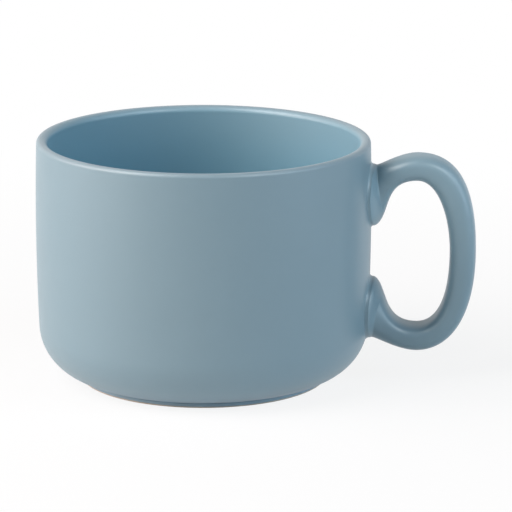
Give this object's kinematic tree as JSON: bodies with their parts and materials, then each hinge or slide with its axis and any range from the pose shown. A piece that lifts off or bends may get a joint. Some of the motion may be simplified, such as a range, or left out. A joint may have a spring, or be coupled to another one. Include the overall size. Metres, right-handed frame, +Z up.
{
  "type": "soup mug",
  "caption": "Low, wide glazed stoneware mug with a slightly bowed wall, a rounded heel, a low foot ring and an oval loop handle on flared feet, for soup and other hot food.",
  "frame": {"origin": "centre of the foot ring, on the plane that it stands on, on the axis of the cup", "axes": "+Z up along the axis of the cup, +X towards the handle, Y across the handle"},
  "size_m": [0.1482, 0.1128, 0.082],
  "materials": {
    "stoneware": "bare fired clay, matt, rubbed smooth on the foot ring",
    "joining_slip": "fired slip, matt, hidden under the glaze",
    "glaze": "satin blue-grey glaze, a little thinner on edges"
  },
  "bodies": {
    "root": {"cup_body": "stoneware", "handle": "stoneware", "upper_slip_joint": "joining_slip", "lower_slip_joint": "joining_slip", "inside_glaze": "glaze", "outside_glaze": "glaze", "handle_glaze": "glaze", "base_glaze": "glaze"}
  },
  "joints": []
}
